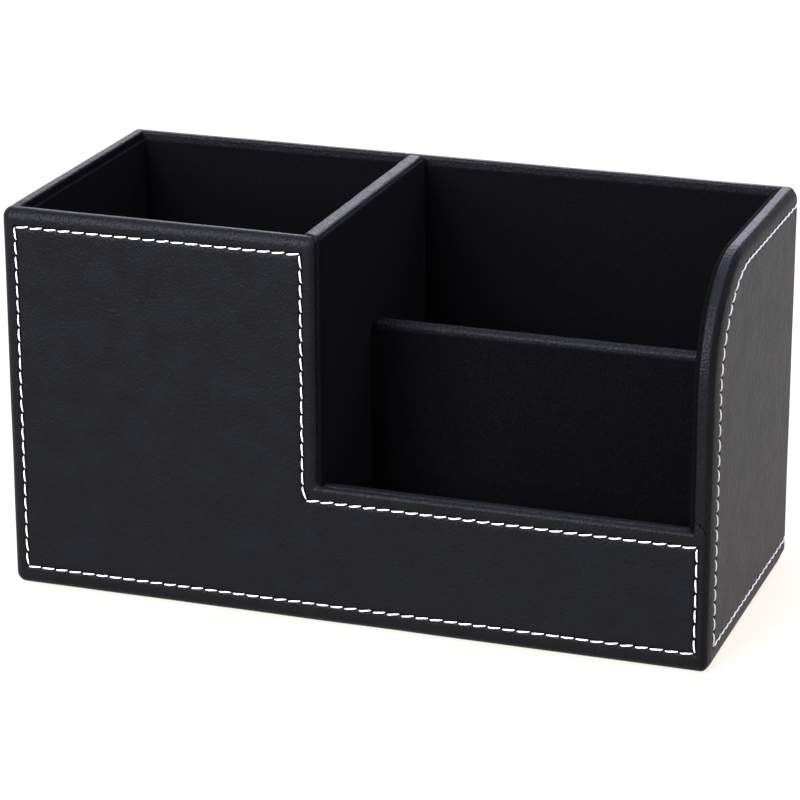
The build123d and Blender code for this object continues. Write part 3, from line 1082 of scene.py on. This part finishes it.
def makeCard(node):
    bm = bmesh.new()
    bm.from_mesh(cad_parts[node].data)
    bmesh.ops.scale(bm, vec=(1 / metre,) * 3, verts=bm.verts)
    bmesh.ops.remove_doubles(bm, verts=bm.verts, dist=0.005)
    bmesh.ops.dissolve_limit(bm, angle_limit=math.radians(2), verts=bm.verts, edges=bm.edges)
    sharp = [edge for edge in bm.edges if len(edge.link_faces) == 2 and edge.calc_face_angle(0) > math.radians(50)]
    bmesh.ops.bevel(bm, geom=sharp, offset=cardLook["edge"], offset_type="OFFSET", segments=3, profile=0.5,
                    affect="EDGES", material=-1, clamp_overlap=True)
    low, high = boxMm(node)
    size = high - low
    along = 0 if size.x > size.y else 1
    count = max(2, round(size[along] / cardLook["slice"]))
    normal = Vector((0, 0, 0))
    normal[along] = 1
    for k in range(1, count):
        at = low.copy()
        at[along] = low[along] + size[along] * k / count
        bmesh.ops.bisect_plane(bm, geom=[*bm.verts, *bm.edges, *bm.faces], dist=1e-4, plane_co=at, plane_no=normal)
    for vert in bm.verts:
        nearTop = smooth(1 - (high.z - vert.co.z) / 3.0)
        wave = noise.noise(Vector((vert.co[along] * 0.11, low.x * 0.3, low.y * 0.3)))
        vert.co.z += cardLook["wave"] * nearTop * (wave - 0.3)
    name = "".join(word.capitalize() for word in node.split("_"))
    return finishPiece(bm, name[0].lower() + name[1:], velvet, [node], 60)


for node in cardNodes:
    makeCard(node)
print("velvet cards made")


# Floor and light

studio = {
    "floor": "#545454",
    "floorGlow": 0.88,
    "floorTint": "#fff8ee",
    "horizon": 0.45,
    "backBand": 5.6,
    "bandTint": "#f0f0ff",
    "zenith": 0.12,
    "zenithTint": "#7a7fd0",
    "softbox": 180.0,        # watts
    "softboxSize": (0.95, 2.3),
    "softboxTint": "#f0f1ff",
    "ceilingBox": 62.0,
    "ceilingBoxSize": (1.5, 2.2),
    "ceilingBoxTint": "#d8daff",
    "sideBox": 18.0,
    "sideBoxSize": (1.4, 1.4),
    "sideBoxTint": "#ffffff",
}


def makeFloor():
    # Opal acrylic sheet, lit from below as on a product table: an even white.
    material, tree, shader, place = startMaterial("opalAcrylicSheet")
    grain = addNode(tree, "ShaderNodeTexNoise", {"Scale": 3.0, "Detail": 2.0}, {"Vector": place})
    rough = addNode(tree, "ShaderNodeMapRange", {"To Min": 0.75, "To Max": 0.85}, {"Value": grain.outputs["Fac"]})
    setShader(tree, shader, {
        "Base Color": linear(studio["floor"]), "Emission Color": linear(studio["floorTint"]),
        "Emission Strength": studio["floorGlow"], "Specular IOR Level": 0.2}, {"Roughness": rough.outputs["Result"]})
    bm = bmesh.new()
    bmesh.ops.create_grid(bm, x_segments=4, y_segments=4, size=6)
    mesh = bpy.data.meshes.new("floor")
    bm.to_mesh(mesh)
    bm.free()
    mesh.materials.append(material)
    floor = bpy.data.objects.new("floor", mesh)
    bpy.context.scene.collection.objects.link(floor)


def areaLight(name, place, aim, size, watts, tint, turn=0.0):
    data = bpy.data.lights.new(name, "AREA")
    data.shape = "RECTANGLE"
    data.size, data.size_y = size
    data.energy = watts
    data.color = linear(tint)[:3]
    lamp = bpy.data.objects.new(name, data)
    lamp.location = place
    lamp.rotation_mode = "QUATERNION"
    track = (Vector(aim) - Vector(place)).to_track_quat("-Z", "Y")
    lamp.rotation_quaternion = Quaternion((0, 0, 1), math.radians(turn)) @ track
    lamp.visible_camera = False
    bpy.context.scene.collection.objects.link(lamp)


def makeSky():
    # a pale horizon under a dark ceiling, brightest behind the holder
    world = bpy.data.worlds.new("studio")
    bpy.context.scene.world = world
    world.use_nodes = True
    tree = world.node_tree
    tree.nodes.clear()
    way = addNode(tree, "ShaderNodeTexCoord").outputs["Generated"]
    split = addNode(tree, "ShaderNodeSeparateXYZ", links={"Vector": way})
    behind = addNode(tree, "ShaderNodeMapRange", {
        "interpolation_type": "SMOOTHSTEP", "From Min": 0.2, "From Max": 0.7}, {"Value": split.outputs["Y"]})
    leftwards = addNode(tree, "ShaderNodeMapRange", {
        "interpolation_type": "SMOOTHSTEP", "From Min": 0.15, "From Max": -0.1}, {"Value": split.outputs["X"]})
    fading = addNode(tree, "ShaderNodeMapRange", {
        "interpolation_type": "SMOOTHSTEP", "From Min": -0.45, "From Max": -0.25, "To Min": 0.4}, {"Value": split.outputs["X"]})
    middle = addNode(tree, "ShaderNodeMath", {"operation": "MULTIPLY"},
                     {0: leftwards.outputs["Result"], 1: fading.outputs["Result"]})
    share = addNode(tree, "ShaderNodeMath", {"operation": "MULTIPLY"},
                    {0: behind.outputs["Result"], 1: middle.outputs["Value"]}).outputs["Value"]
    band = addNode(tree, "ShaderNodeMapRange", {
        "To Min": studio["horizon"], "To Max": studio["backBand"]}, {"Value": share})
    low = addNode(tree, "ShaderNodeMapRange", {
        "interpolation_type": "SMOOTHSTEP", "From Min": 0.46, "From Max": 0.72, "To Min": 1.0, "To Max": 0.0},
        {"Value": split.outputs["Z"]}).outputs["Result"]
    level = addNode(tree, "ShaderNodeMath", {"operation": "MULTIPLY_ADD", 2: studio["zenith"]},
                    {0: band.outputs["Result"], 1: low})
    color = rampOf(tree, low, [(0.0, linear(studio["zenithTint"])), (1.0, linear(studio["bandTint"]))])
    light = addNode(tree, "ShaderNodeBackground", links={"Color": color, "Strength": level.outputs["Value"]})
    output = addNode(tree, "ShaderNodeOutputWorld")
    tree.links.new(light.outputs["Background"], output.inputs["Surface"])


makeFloor()
makeSky()
areaLight("frontSoftbox", (-0.56, -1.40, 1.42), (0, 0, 1.42), studio["softboxSize"], studio["softbox"],
          studio["softboxTint"])
areaLight("ceilingBox", (0.24, 0.42, 1.62), (0.24, 0.42, 0), studio["ceilingBoxSize"], studio["ceilingBox"],
          studio["ceilingBoxTint"], 14)
areaLight("sideBox", (1.05, -1.25, 0.95), (0, 0, 0.06), studio["sideBoxSize"], studio["sideBox"],
          studio["sideBoxTint"])
bpy.context.scene.view_settings.view_transform = "Standard"
bpy.context.scene.view_settings.look = "None"
print("floor and light made")
